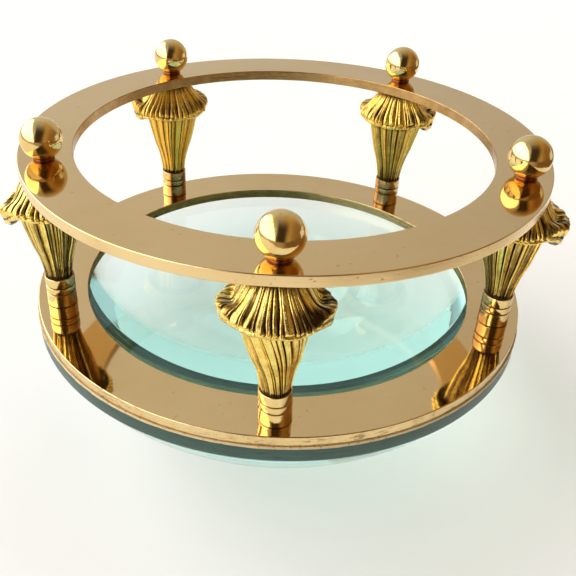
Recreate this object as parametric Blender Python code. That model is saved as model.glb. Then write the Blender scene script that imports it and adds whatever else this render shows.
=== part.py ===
"""Brass desk magnifier with a thick domed lens under a two-ring, five-column stand.

The lens lies under the lower ring with its flat side up and its dome down, and the whole
stand is bolted together by screws that hold five cast torch columns between the rings.
Five ball finials screw down on the upper ring.  Units are metres, +Z is up, and the
origin is the crown of the dome, where the object rests.
"""
import math

import bmesh
import bpy

MM = 0.001

# Rings: two equal flat washers cut from brass plate.
RING_OUTER_R = 50.0 * MM
RING_INNER_R = 40.0 * MM
RING_THICK = 2.1 * MM
RING_CHAMFER = 0.22 * MM
RING_GAP = 28.9 * MM            # clear height between the two rings
RING_SEGMENTS = 60

# Lens: flat side up, spherical dome down, with a short straight rim.
LENS_R = 50.2 * MM
LENS_RIM = 2.75 * MM
DOME_RADIUS = 59.5 * MM
CROWN_FLAT_R = 3.0 * MM         # contact patch at the crown
DOME_ROWS = 7

# Adhesive bead between the lens and the lower ring.
BEAD_THICK = 0.20 * MM
BEAD_GAP = 0.05 * MM
BEAD_INNER_R = 41.0 * MM
BEAD_OUTER_R = 49.7 * MM

# Columns.
COLUMN_COUNT = 5
COLUMN_CIRCLE_R = 45.2 * MM
FIRST_COLUMN_DEG = -90.0
STACK_GAP = 0.10 * MM           # joint line between stacked pieces
FERRULE_HEIGHT = 6.35 * MM
FERRULE_R = 2.85 * MM
SHAFT_HEIGHT = 15.5 * MM
FLUTE_COUNT = 16
PLEAT_COUNT = 24

# Ball finials.
BALL_R = 3.82 * MM
BALL_CENTRE = 3.72 * MM         # above the upper ring's face
BALL_NECK_R = 1.80 * MM
BALL_SEGMENTS = 16

# Screws: M3 studs in the finials, M3 countersunk screws through the lower ring.
STUD_R = 1.50 * MM
BORE_R = 1.56 * MM
BALL_BORE_R = 1.58 * MM
CLEARANCE_R = 1.70 * MM
STUD_TOP = 4.6 * MM             # above the upper ring's face
THREAD_HOLD = 5.0 * MM          # thread engaged in the fluted shaft
SCREW_LENGTH = 14.0 * MM
SCREW_HEAD_R = 2.95 * MM
SCREW_HEAD_HEIGHT = 1.45 * MM
SCREW_SEGMENTS = 12

# Heights of the stack, from the crown of the dome upwards.
_DOME_CENTRE = math.sqrt(DOME_RADIUS ** 2 - CROWN_FLAT_R ** 2)
LENS_RIM_Z = _DOME_CENTRE - math.sqrt(DOME_RADIUS ** 2 - LENS_R ** 2)
LENS_TOP_Z = LENS_RIM_Z + LENS_RIM
LENS_RING_Z = LENS_TOP_Z + BEAD_THICK + 2 * BEAD_GAP
LENS_RING_TOP_Z = LENS_RING_Z + RING_THICK
TOP_RING_Z = LENS_RING_TOP_Z + RING_GAP
TOP_RING_TOP_Z = TOP_RING_Z + RING_THICK
FERRULE_Z = LENS_RING_TOP_Z + STACK_GAP
SHAFT_Z = FERRULE_Z + FERRULE_HEIGHT + STACK_GAP
CAPITAL_Z = SHAFT_Z + SHAFT_HEIGHT + STACK_GAP
CAPITAL_HEIGHT = TOP_RING_Z - STACK_GAP - CAPITAL_Z
STUD_Z = SHAFT_Z + SHAFT_HEIGHT - THREAD_HOLD
STUD_LENGTH = TOP_RING_TOP_Z + STUD_TOP - STUD_Z
BALL_Z = TOP_RING_TOP_Z + STACK_GAP
FOOT_SCREW_Z = LENS_RING_Z + 0.05 * MM


def clear_scene():
    for obj in list(bpy.data.objects):
        bpy.data.objects.remove(obj, do_unlink=True)
    for mesh in list(bpy.data.meshes):
        if mesh.users == 0:
            bpy.data.meshes.remove(mesh)


def material(name, color, roughness, metallic, alpha=1.0):
    mat = bpy.data.materials.new(name)
    mat.use_nodes = True
    shader = mat.node_tree.nodes["Principled BSDF"]
    shader.inputs["Base Color"].default_value = (*color, 1.0)
    shader.inputs["Roughness"].default_value = roughness
    shader.inputs["Metallic"].default_value = metallic
    shader.inputs["Alpha"].default_value = alpha
    return mat


def link(name, mesh, mat, location=(0.0, 0.0, 0.0), turn=0.0, parent=None):
    obj = bpy.data.objects.new(name, mesh)
    bpy.context.scene.collection.objects.link(obj)
    if not mesh.materials:
        mesh.materials.append(mat)
    obj.location = location
    obj.rotation_euler = (0.0, 0.0, turn)
    obj.parent = parent
    return obj


def smooth_by_angle(mesh, degrees=35.0):
    """Shade the round faces smooth and keep the turned corners crisp."""
    limit = math.radians(degrees)
    work = bmesh.new()
    work.from_mesh(mesh)
    for face in work.faces:
        face.smooth = True
    for edge in work.edges:
        if len(edge.link_faces) == 2:
            edge.smooth = edge.calc_face_angle(0.0) < limit
    work.to_mesh(mesh)
    work.free()


def lathe(name, profile, segments, warp=None):
    """Turn a profile of (radius, height) about Z.

    A profile that starts and ends on the axis gives a solid; any other profile is a
    closed loop and gives a ring or a bored piece.  warp(index, angle, radius, height)
    may return a changed radius and height for a row.
    """
    solid = profile[0][0] == 0.0 and profile[-1][0] == 0.0
    work = bmesh.new()
    rows = []
    for index, (radius, height) in enumerate(profile):
        if radius == 0.0:
            rows.append([work.verts.new((0.0, 0.0, height))])
            continue
        row = []
        for step in range(segments):
            angle = 2.0 * math.pi * step / segments
            r, z = radius, height
            if warp is not None:
                r, z = warp(index, angle, radius, height)
            row.append(work.verts.new((r * math.cos(angle), r * math.sin(angle), z)))
        rows.append(row)
    pairs = list(zip(rows, rows[1:]))
    if not solid:
        pairs.append((rows[-1], rows[0]))
    for low, high in pairs:
        for step in range(segments):
            nxt = (step + 1) % segments
            if len(low) == 1:
                work.faces.new((low[0], high[nxt], high[step]))
            elif len(high) == 1:
                work.faces.new((low[step], low[nxt], high[0]))
            else:
                work.faces.new((low[step], low[nxt], high[nxt], high[step]))
    bmesh.ops.recalc_face_normals(work, faces=work.faces)
    mesh = bpy.data.meshes.new(name)
    work.to_mesh(mesh)
    work.free()
    smooth_by_angle(mesh)
    return mesh


def column_angles():
    for index in range(COLUMN_COUNT):
        yield index + 1, math.radians(FIRST_COLUMN_DEG + 360.0 * index / COLUMN_COUNT)


def ring_profile(z0, thick, inner, outer, chamfer):
    z1 = z0 + thick
    return [
        (inner, z0),
        (outer - chamfer, z0),
        (outer, z0 + chamfer),
        (outer, z1 - chamfer),
        (outer - chamfer, z1),
        (inner + chamfer, z1),
        (inner, z1 - chamfer),
    ]


def hole_cutter(name, profile, mat):
    """One cutter object with a turned plug at every column position."""
    plug = lathe(name + "_plug", profile, SCREW_SEGMENTS)
    work = bmesh.new()
    for _, angle in column_angles():
        before = len(work.verts)
        work.from_mesh(plug)
        work.verts.ensure_lookup_table()
        shift = (COLUMN_CIRCLE_R * math.cos(angle), COLUMN_CIRCLE_R * math.sin(angle), 0.0)
        bmesh.ops.translate(work, verts=work.verts[before:], vec=shift)
    mesh = bpy.data.meshes.new(name)
    work.to_mesh(mesh)
    work.free()
    bpy.data.meshes.remove(plug)
    cutter = link(name, mesh, mat)
    cutter.hide_render = True
    cutter.display_type = "WIRE"
    return cutter


def cut(obj, cutter):
    mod = obj.modifiers.new("screw_holes", "BOOLEAN")
    mod.operation = "DIFFERENCE"
    mod.solver = "EXACT"
    mod.object = cutter


def make_lens():
    profile = [(0.0, 0.0), (CROWN_FLAT_R, 0.0)]
    start = math.asin(CROWN_FLAT_R / DOME_RADIUS)
    end = math.asin(LENS_R / DOME_RADIUS)
    for row in range(1, DOME_ROWS + 1):
        angle = start + (end - start) * row / DOME_ROWS
        height = _DOME_CENTRE - DOME_RADIUS * math.cos(angle)
        profile.append((DOME_RADIUS * math.sin(angle), height))
    edge = 0.15 * MM
    profile.append((LENS_R, LENS_TOP_Z - edge))
    profile.append((LENS_R - edge, LENS_TOP_Z))
    profile.append((0.0, LENS_TOP_Z))
    return lathe("lens", profile, RING_SEGMENTS)


def make_bead():
    low = LENS_TOP_Z + BEAD_GAP
    high = low + BEAD_THICK
    profile = [(BEAD_INNER_R, low), (BEAD_OUTER_R, low), (BEAD_OUTER_R, high), (BEAD_INNER_R, high)]
    return lathe("lens_adhesive", profile, RING_SEGMENTS)


def make_ferrule():
    """Turned collar with two shallow grooves; its base is at z = 0."""
    h = FERRULE_HEIGHT
    r = FERRULE_R
    groove = 0.22 * MM
    profile = [
        (CLEARANCE_R, 0.0),
        (r + 0.05 * MM, 0.0),
        (r, 0.35 * MM),
        (r, h - 3.75 * MM),
        (r - groove, h - 3.55 * MM),
        (r, h - 3.35 * MM),
        (r, h - 2.25 * MM),
        (r - groove, h - 2.05 * MM),
        (r, h - 1.85 * MM),
        (r, h - 0.25 * MM),
        (r - 0.25 * MM, h),
        (CLEARANCE_R, h),
    ]
    return lathe("foot_ferrule", profile, 16)


def make_shaft():
    """Fluted tapering shaft, wide at the top; its base is at z = 0."""
    h = SHAFT_HEIGHT
    rows = [(2.62, 0.0), (2.9, 0.10), (3.25, 0.23), (3.75, 0.36), (4.45, 0.50), (5.15, 0.70), (6.1, 1.0)]
    depth = [0.22, 0.25, 0.28, 0.32, 0.38, 0.42, 0.42]
    profile = [(BORE_R, 0.0)]
    profile += [(r * MM, h * t) for r, t in rows]
    profile.append((BORE_R, h))

    def flute(index, angle, radius, height):
        if 1 <= index <= len(rows):
            valley = 0.5 - 0.5 * math.cos(angle * FLUTE_COUNT)
            return radius - depth[index - 1] * MM * valley, height
        return radius, height

    return lathe("fluted_shaft", profile, FLUTE_COUNT * 2, flute)


def make_capital():
    """Ruffled cap that opens downwards into a wavy lip; its underside is near z = 0."""
    h = CAPITAL_HEIGHT
    rows = [
        (6.45, 0.0, 0.10),
        (7.35, -0.05, 0.30),
        (8.15, 0.05, 0.40),
        (8.65, 0.75, 0.45),
        (8.45, 1.75, 0.45),
        (6.9, 3.15, 0.35),
        (5.3, 4.9, 0.22),
        (4.0, h / MM, 0.10),
    ]
    profile = [(CLEARANCE_R, 0.0)]
    profile += [(r * MM, z * MM) for r, z, _ in rows]
    profile.append((CLEARANCE_R, h))

    def pleat(index, angle, radius, z):
        if 1 <= index <= len(rows):
            ridge = 0.5 + 0.5 * math.cos(angle * PLEAT_COUNT)
            depth = rows[index - 1][2] * MM
            sway = 0.018 * math.cos(2.0 * angle + 0.6) + 0.012 * math.cos(5.0 * angle)
            share = min(1.0, depth / (0.45 * MM))
            r = radius * (1.0 + sway * share) - depth * (1.0 - ridge)
            if index in (3, 4):
                z += 0.22 * MM * math.cos(3.0 * angle + 1.0)
            return r, z
        return radius, z

    return lathe("capital", profile, PLEAT_COUNT * 2, pleat)


def make_ball():
    """Ball with a short neck and a blind bore for its stud; z = 0 is the neck's base."""
    neck = 0.40 * MM
    centre = BALL_CENTRE - STACK_GAP
    start = math.acos((centre - neck) / BALL_R)
    bore_top = STUD_TOP - STACK_GAP + 0.2 * MM
    profile = [(0.0, bore_top), (BALL_BORE_R, bore_top), (BALL_BORE_R, 0.0)]
    profile += [(BALL_NECK_R, 0.0), (BALL_NECK_R, neck * 0.6)]
    steps = 8
    for row in range(steps):
        angle = start + (math.pi - start) * row / steps
        profile.append((BALL_R * math.sin(angle), centre - BALL_R * math.cos(angle)))
    profile.append((0.0, centre + BALL_R))
    return lathe("ball_finial", profile, BALL_SEGMENTS)


def make_stud():
    """Threaded stud; z = 0 is its lower end."""
    point = 0.4 * MM
    profile = [
        (0.0, 0.0),
        (STUD_R - point, 0.0),
        (STUD_R, point),
        (STUD_R, STUD_LENGTH - point),
        (STUD_R - point, STUD_LENGTH),
        (0.0, STUD_LENGTH),
    ]
    return lathe("finial_stud", profile, SCREW_SEGMENTS)


def make_foot_screw():
    """Countersunk screw, head down; z = 0 is the face of its head."""
    point = 0.4 * MM
    profile = [
        (0.0, 0.0),
        (SCREW_HEAD_R, 0.0),
        (SCREW_HEAD_R, 0.15 * MM),
        (STUD_R, SCREW_HEAD_HEIGHT),
        (STUD_R, SCREW_LENGTH - point),
        (STUD_R - point, SCREW_LENGTH),
        (0.0, SCREW_LENGTH),
    ]
    return lathe("foot_screw", profile, SCREW_SEGMENTS)


def build():
    clear_scene()
    plate = material("ring_brass", (0.55, 0.41, 0.23), 0.24, 1.0)
    cast = material("cast_brass", (0.62, 0.44, 0.16), 0.28, 1.0)
    turned = material("turned_brass", (0.68, 0.49, 0.20), 0.16, 1.0)
    glass = material("lens_glass", (0.62, 0.84, 0.79), 0.02, 0.0, 0.35)
    glue = material("adhesive", (0.72, 0.58, 0.30), 0.45, 0.0)
    steel = material("screw_steel", (0.55, 0.55, 0.56), 0.35, 1.0)

    profile = ring_profile(TOP_RING_Z, RING_THICK, RING_INNER_R, RING_OUTER_R, RING_CHAMFER)
    top_ring = link("top_ring", lathe("top_ring", profile, RING_SEGMENTS), plate)
    profile = ring_profile(LENS_RING_Z, RING_THICK, RING_INNER_R, RING_OUTER_R, RING_CHAMFER)
    lens_ring = link("lens_ring", lathe("lens_ring", profile, RING_SEGMENTS), plate)
    link("lens", make_lens(), glass)
    link("lens_adhesive", make_bead(), glue)

    low, high = TOP_RING_Z - 1.0 * MM, TOP_RING_TOP_Z + 1.0 * MM
    plug = [(0.0, low), (CLEARANCE_R, low), (CLEARANCE_R, high), (0.0, high)]
    cut(top_ring, hole_cutter("top_hole_cutter", plug, steel))
    low, high = LENS_RING_Z, LENS_RING_TOP_Z
    sink = SCREW_HEAD_R + 0.20 * MM
    slope_top = low + (sink - CLEARANCE_R)
    plug = [
        (0.0, low - 1.0 * MM),
        (sink, low - 1.0 * MM),
        (sink, low + 0.20 * MM),
        (CLEARANCE_R, slope_top + 0.20 * MM),
        (CLEARANCE_R, high + 1.0 * MM),
        (0.0, high + 1.0 * MM),
    ]
    cut(lens_ring, hole_cutter("lens_hole_cutter", plug, steel))

    pieces = [
        ("foot_ferrule", make_ferrule(), turned, FERRULE_Z),
        ("fluted_shaft", make_shaft(), cast, SHAFT_Z),
        ("capital", make_capital(), cast, CAPITAL_Z),
        ("finial_stud", make_stud(), steel, STUD_Z),
        ("foot_screw", make_foot_screw(), steel, FOOT_SCREW_Z),
        ("ball_finial", make_ball(), turned, BALL_Z),
    ]
    for number, angle in column_angles():
        axis = bpy.data.objects.new("column_axis_%d" % number, None)
        bpy.context.scene.collection.objects.link(axis)
        axis.location = (COLUMN_CIRCLE_R * math.cos(angle), COLUMN_CIRCLE_R * math.sin(angle), 0.0)
        axis.rotation_euler = (0.0, 0.0, angle)
        for name, mesh, mat, z in pieces:
            link("%s_%d" % (name, number), mesh, mat, (0.0, 0.0, z), 0.0, axis)


build()
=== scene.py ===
"""Looks of the brass desk magnifier: fine meshes, materials, soft light and the camera."""
import math

import bmesh
import bpy
import numpy as np
from mathutils import Matrix, Vector


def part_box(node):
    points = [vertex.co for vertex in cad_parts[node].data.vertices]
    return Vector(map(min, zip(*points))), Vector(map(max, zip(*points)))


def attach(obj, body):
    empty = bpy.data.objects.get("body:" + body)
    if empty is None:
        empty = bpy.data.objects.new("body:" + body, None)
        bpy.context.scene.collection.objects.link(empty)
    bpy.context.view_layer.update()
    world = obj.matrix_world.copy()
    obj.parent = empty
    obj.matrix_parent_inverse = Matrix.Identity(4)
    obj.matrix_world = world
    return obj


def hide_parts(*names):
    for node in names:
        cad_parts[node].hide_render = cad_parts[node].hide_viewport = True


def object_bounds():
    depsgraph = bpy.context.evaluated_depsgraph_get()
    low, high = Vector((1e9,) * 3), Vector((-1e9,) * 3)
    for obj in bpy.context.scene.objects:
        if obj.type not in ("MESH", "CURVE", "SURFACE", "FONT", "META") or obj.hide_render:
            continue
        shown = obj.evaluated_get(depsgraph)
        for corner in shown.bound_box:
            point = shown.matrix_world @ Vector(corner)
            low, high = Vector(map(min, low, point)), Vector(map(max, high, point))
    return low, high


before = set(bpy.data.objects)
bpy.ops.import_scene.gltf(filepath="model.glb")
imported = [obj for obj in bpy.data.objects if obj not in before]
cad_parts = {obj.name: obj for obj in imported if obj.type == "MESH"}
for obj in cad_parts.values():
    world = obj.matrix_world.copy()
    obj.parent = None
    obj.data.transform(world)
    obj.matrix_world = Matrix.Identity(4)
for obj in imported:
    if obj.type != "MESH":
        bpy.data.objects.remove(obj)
cad_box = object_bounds()

MM = 0.001
TAU = 2.0 * math.pi
COLUMNS = range(1, 6)
BACK_COLUMNS = (3, 4)


# ---------------------------------------------------------------- places from the frame
def centre_of(node):
    low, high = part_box(node)
    return (low + high) / 2


RING_LOW, RING_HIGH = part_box("top_ring")
LOWER_LOW, LOWER_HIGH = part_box("lens_ring")
LENS_LOW, LENS_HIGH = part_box("lens")
RING_OUTER = RING_HIGH.x
RING_INNER = 40.0 * MM
RING_CHAMFER = 0.16 * MM
LENS_RADIUS = LENS_HIGH.x
DOME_RADIUS = 59.5 * MM
CROWN_FLAT = 3.0 * MM        # radius of the flat that the lens rests on
CEMENT_INNER = 41.0 * MM
CLEARANCE = 1.70 * MM        # radius of the holes that a screw passes
SCREW_RADIUS = 1.5 * MM
THREAD_PITCH = 0.5 * MM
THREAD_DEPTH = 0.30 * MM
SCREW_HEAD = 2.95 * MM
COLLAR_RADIUS = 2.85 * MM
BALL_RADIUS = 3.82 * MM
BALL_NECK = 1.85 * MM
BALL_BORE = 1.58 * MM
SHAFT_BORE = 1.56 * MM
CENTRE = 0.02 * MM           # radius at which an outline stops short of its axis
GLASS_IOR = 1.52


def axis_of(number):
    """A column's axis on the floor and its azimuth round the stand."""
    middle = centre_of("ball_finial_%d" % number)
    return Vector((middle.x, middle.y, 0.0)), math.atan2(middle.y, middle.x)


# ---------------------------------------------------------------- mesh helpers
def smooth_through(points, count):
    """Catmull-Rom curve through (radius, height) points, count steps a span."""
    pts = [Vector(p) for p in points]
    ends = [pts[0] * 2 - pts[1]] + pts + [pts[-1] * 2 - pts[-2]]
    out = []
    for i in range(1, len(ends) - 2):
        a, b, c, d = ends[i - 1:i + 3]
        for step in range(count):
            t = step / count
            out.append(tuple(
                0.5 * (2 * b + (c - a) * t + (2 * a - 5 * b + 4 * c - d) * t ** 2
                       + (3 * b - a - 3 * c + d) * t ** 3)))
    out.append(tuple(pts[-1]))
    return out


def arc(centre, radius, start, end, count):
    """Points of an arc in the (radius, height) plane, angles in degrees."""
    angles = [math.radians(start + (end - start) * i / count) for i in range(count + 1)]
    return [(centre[0] + radius * math.cos(a), centre[1] + radius * math.sin(a)) for a in angles]


def held(points, inset=0.04 * MM):
    """Adds a point close to both ends of every long straight run, which keeps it flat."""
    out = []
    closed = points + [points[0]]
    long_run = 8 * inset
    for (r0, z0), (r1, z1) in zip(closed, closed[1:]):
        out.append((r0, z0))
        length = math.hypot(r1 - r0, z1 - z0)
        if length > long_run:
            share = inset / length
            for s in (share, 1.0 - share):
                out.append((r0 + (r1 - r0) * s, z0 + (z1 - z0) * s))
    return out


def grid(name, rows, loop, solid_ends=False):
    """Mesh from an array of rows x steps x 3. A loop joins the last row to the first."""
    count, steps = rows.shape[:2]
    verts = rows.reshape(-1, 3)
    here = np.arange(count * steps).reshape(count, steps)
    right = np.roll(here, -1, axis=1)
    if loop:
        up, up_right = np.roll(here, -1, axis=0), np.roll(right, -1, axis=0)
        quads = np.stack([here, right, up_right, up], -1).reshape(-1, 4)
    else:
        quads = np.stack([here[:-1], right[:-1], right[1:], here[1:]], -1).reshape(-1, 4)
    faces = quads.tolist()
    points = verts.tolist()
    if solid_ends:
        for row, order in ((0, -1), (count - 1, 1)):
            tip = len(points)
            points.append(rows[row].mean(axis=0).tolist())
            ring = here[row].tolist()
            nxt = right[row].tolist()
            faces += [[p, q, tip][::order] for p, q in zip(ring, nxt)]
    mesh = bpy.data.meshes.new(name)
    mesh.from_pydata(points, [], faces)
    mesh.validate()
    return mesh


def outward(mesh):
    """Turns every face outward."""
    work = bmesh.new()
    work.from_mesh(mesh)
    bmesh.ops.recalc_face_normals(work, faces=work.faces)
    work.to_mesh(mesh)
    work.free()


def crisp(mesh, degrees):
    """Smooth shading but for edges that bend by more than degrees."""
    outward(mesh)
    mesh.shade_smooth()
    mesh.set_sharp_from_angle(angle=math.radians(degrees))


def round_angles(steps):
    return np.arange(steps) * TAU / steps


def turned_rows(outline, angles):
    """Rows of a piece turned about Z from its outline of (radius, height)."""
    line = np.array(outline)
    rows = np.zeros((len(line), len(angles), 3))
    rows[..., 0] = line[:, :1] * np.cos(angles)
    rows[..., 1] = line[:, :1] * np.sin(angles)
    rows[..., 2] = line[:, 1:]
    return rows


def turned(name, outline, steps, solid=False, degrees=32.0):
    rows = turned_rows(outline, round_angles(steps))
    mesh = grid(name, rows, loop=not solid, solid_ends=solid)
    crisp(mesh, degrees)
    return mesh


def ripple(seed, angles, waves, decay=1.0):
    """Smooth closed random wave round a circle, about -1 to 1."""
    draw = np.random.default_rng(seed)
    out = np.zeros_like(angles)
    total = 0.0
    for wave in waves:
        size = draw.uniform(0.6, 1.0) / wave ** decay
        out = out + size * np.sin(wave * angles + draw.uniform(0.0, TAU))
        total += size
    return out / total


def paint(mesh, name, values):
    """Stores one number for each vertex, which a material reads by name."""
    field = mesh.attributes.new(name, "FLOAT", "POINT")
    padded = np.zeros(len(mesh.vertices), dtype=np.float32)
    padded[:len(values)] = values
    field.data.foreach_set("value", padded)


def piece(name, mesh, finish, body, node, place=(0.0, 0.0, 0.0), turn=0.0):
    """A visible piece that stands for a CAD node and moves with its body."""
    obj = bpy.data.objects.new(name, mesh)
    bpy.context.scene.collection.objects.link(obj)
    for material in finish if isinstance(finish, tuple) else (finish,):
        mesh.materials.append(material)
    obj.location = place
    obj.rotation_euler = (0.0, 0.0, turn)
    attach(obj, body)
    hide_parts(node)
    return obj


def carve(obj, cutters):
    """Cuts the meshes of cutters out of obj and keeps the result as its mesh."""
    for cutter in cutters:
        mod = obj.modifiers.new("cut", "BOOLEAN")
        mod.operation = "DIFFERENCE"
        mod.solver = "EXACT"
        mod.object = cutter
    bpy.context.view_layer.update()
    graph = bpy.context.evaluated_depsgraph_get()
    mesh = bpy.data.meshes.new_from_object(obj.evaluated_get(graph))
    obj.modifiers.clear()
    old, obj.data = obj.data, mesh
    bpy.data.meshes.remove(old)
    for cutter in cutters:
        data = cutter.data
        bpy.data.objects.remove(cutter)
        bpy.data.meshes.remove(data)


def tool(name, mesh, place, turn=0.0):
    """An object that is only carved with."""
    obj = bpy.data.objects.new(name, mesh)
    bpy.context.scene.collection.objects.link(obj)
    obj.location = place
    obj.rotation_euler = (0.0, 0.0, turn)
    return obj


# ---------------------------------------------------------------- material helpers
class Shading:
    """A material's node tree, built with short calls."""

    def __init__(self, name):
        self.material = bpy.data.materials.new(name)
        self.material.use_nodes = True
        self.tree = self.material.node_tree
        self.shader = self.tree.nodes["Principled BSDF"]
        self.output = self.tree.nodes["Material Output"]

    def add(self, kind, values=(), **settings):
        node = self.tree.nodes.new("ShaderNode" + kind)
        for key, value in settings.items():
            setattr(node, key, value)
        for key, value in dict(values).items():
            self.set(node.inputs[key], value)
        return node

    def set(self, socket, value):
        if isinstance(value, bpy.types.NodeSocket):
            self.tree.links.new(value, socket)
        else:
            socket.default_value = value

    def coords(self, scale=(1.0, 1.0, 1.0)):
        place = self.add("TexCoord").outputs["Object"]
        return self.add("Mapping", {"Vector": place, "Scale": scale}).outputs["Vector"]

    def noise(self, scale, detail=3.0, where=None, rough=0.5, distortion=0.0):
        where = where if where is not None else self.coords()
        node = self.add("TexNoise", {"Vector": where, "Scale": scale, "Detail": detail,
                                     "Roughness": rough, "Distortion": distortion})
        return node.outputs["Fac"]

    def remap(self, value, low, high, out_low=0.0, out_high=1.0, smooth=False):
        node = self.add("MapRange", {"Value": value, "From Min": low, "From Max": high,
                                     "To Min": out_low, "To Max": out_high})
        if smooth:
            node.interpolation_type = "SMOOTHSTEP"
        return node.outputs["Result"]

    def math(self, operation, a, b=0.0):
        node = self.add("Math", operation=operation)
        self.set(node.inputs[0], a)
        self.set(node.inputs[1], b)
        return node.outputs[0]

    def blend(self, share, a, b, mode="MIX"):
        node = self.add("Mix", data_type="RGBA", blend_type=mode)
        self.set(node.inputs[0], share)
        self.set(node.inputs[6], a)
        self.set(node.inputs[7], b)
        return node.outputs[2]

    def field(self, name):
        return self.add("Attribute", attribute_name=name).outputs["Fac"]

    def polar(self):
        """The radius from the piece's own axis and the angle round it in turns."""
        split = self.add("SeparateXYZ", {"Vector": self.add("TexCoord").outputs["Object"]})
        x, y = split.outputs["X"], split.outputs["Y"]
        square = self.math("ADD", self.math("MULTIPLY", x, x), self.math("MULTIPLY", y, y))
        radius = self.math("SQRT", square)
        turn = self.math("DIVIDE", self.math("ARCTAN2", y, x), TAU)
        return radius, turn, split.outputs["Z"]

    def bump(self, height, depth, under=None):
        node = self.add("Bump", {"Height": height, "Distance": depth, "Strength": 1.0})
        if under is not None:
            self.set(node.inputs["Normal"], under)
        return node.outputs["Normal"]

    def finish(self, **values):
        for key, value in values.items():
            self.set(self.shader.inputs[key.replace("_", " ")], value)
        return self.material


def rgb(red, green, blue):
    return (red, green, blue, 1.0)


# ---------------------------------------------------------------- materials
PLATE_GOLD = rgb(0.80, 0.58, 0.285)
PLATE_WARM = rgb(0.75, 0.53, 0.245)
EDGE_GOLD = rgb(0.85, 0.65, 0.33)
EDGE_WARM = rgb(0.77, 0.56, 0.26)
# Colour of the bore's wall: stain and painted shade.
BORE_STAIN_AND_SHADE = rgb(0.40, 0.235, 0.09)
EDGE_SCUFF = rgb(0.26, 0.155, 0.065)
CAST_GOLD = rgb(1.0, 0.82, 0.25)
CAST_WARM = rgb(0.90, 0.64, 0.14)
TURNED_GOLD = rgb(0.86, 0.67, 0.31)
TURNED_WARM = rgb(0.77, 0.54, 0.18)
PATINA = rgb(0.055, 0.030, 0.010)
TARNISH = rgb(0.42, 0.26, 0.11)
UNDERSIDE = rgb(0.26, 0.185, 0.09)
NECK_RED = rgb(0.16, 0.040, 0.014)
OLIVE = rgb(0.37, 0.235, 0.062)
HONEY = rgb(0.92, 0.55, 0.085)
GLASS_DEPTH = rgb(0.27, 0.84, 0.78)
GLASS_SHADOW = rgb(0.88, 0.92, 0.86)
GROUND_DARK = rgb(0.008, 0.036, 0.026)
GROUND_PALE = rgb(0.030, 0.080, 0.060)
CEMENT_CREAM = rgb(0.80, 0.66, 0.38)
CEMENT_TAN = rgb(0.52, 0.38, 0.18)
CEMENT_PIT = rgb(0.10, 0.07, 0.035)
STEEL_PALE = rgb(0.60, 0.59, 0.57)
STEEL_GREY = rgb(0.48, 0.47, 0.45)
STEEL_OIL = rgb(0.10, 0.09, 0.08)
FLOOR_GREY = rgb(0.86, 0.865, 0.87)
FLOOR_WHITE = rgb(0.90, 0.90, 0.90)
# How fine the marks of the tools are, in noise cells a metre, and round the piece a turn.
FACE_LINES, FACE_ROUND = 5200.0, 9.0
WALL_LINES, WALL_ROUND = 9000.0, 14.0
SCUFF_LINES, SCUFF_ROUND = 2600.0, 150.0
BALL_LINES, BALL_ROUND = 7000.0, 5.0
GRIND_LINES, GRIND_ROUND = 2500.0, 60.0
CHASED_UP, CHASED_OUT, CHASED_ROUND = 260.0, 200.0, 26.0


def scratches(s, scale, stretch, turn, width):
    """Sparse hairlines: thin bands of a stretched noise, 1 on a line."""
    place = s.add("TexCoord").outputs["Object"]
    where = s.add("Mapping", {"Vector": place, "Rotation": (0.0, 0.0, turn),
                              "Scale": (1.0, stretch, 1.0)}).outputs["Vector"]
    value = s.noise(scale, 1.0, where)
    near = s.math("ABSOLUTE", s.math("SUBTRACT", value, 0.5))
    return s.remap(near, 0.0, width, 1.0, 0.0)


def ring_face_brass():
    """Flat plate, lapped and lacquered: nearly a mirror with faint lathe lines and hairlines."""
    s = Shading("ring_face_brass")
    radius, turn, height = s.polar()
    lane = s.add("CombineXYZ", {"X": s.math("MULTIPLY", radius, FACE_LINES),
                                "Y": s.math("MULTIPLY", turn, FACE_ROUND), "Z": height})
    lines = s.noise(1.0, 2.0, lane.outputs["Vector"])
    cloud = s.noise(46.0, 4.0, rough=0.6)
    smudge = s.noise(140.0, 5.0, rough=0.65, distortion=0.4)
    sparse = s.remap(s.noise(95.0, 1.0), 0.60, 0.64)
    hair = s.math("MULTIPLY", sparse, scratches(s, 300.0, 0.05, 0.8, 0.0022))
    spots = s.remap(s.noise(900.0, 2.0), 0.70, 0.76)
    colour = s.blend(s.remap(cloud, 0.35, 0.68), PLATE_GOLD, PLATE_WARM)
    # The upper ring's underside is painted darker than the faces that show.
    under = s.remap(s.math("ABSOLUTE", s.math("SUBTRACT", height, RING_LOW.z)), 0.5 * MM, 0.3 * MM)
    colour = s.blend(s.math("MULTIPLY", under, 0.5), colour, UNDERSIDE)
    colour = s.blend(s.math("MULTIPLY", spots, 0.35), colour, TARNISH)
    gloss = s.remap(smudge, 0.30, 0.75, 0.030, 0.060)
    gloss = s.math("ADD", gloss, s.math("MULTIPLY", lines, 0.02))
    gloss = s.math("ADD", gloss, s.math("MULTIPLY", hair, 0.03))
    normal = s.bump(lines, 0.0004 * MM)
    normal = s.bump(hair, -0.0005 * MM, normal)
    return s.finish(Base_Color=colour, Metallic=1.0, Roughness=gloss, Normal=normal)


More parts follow.
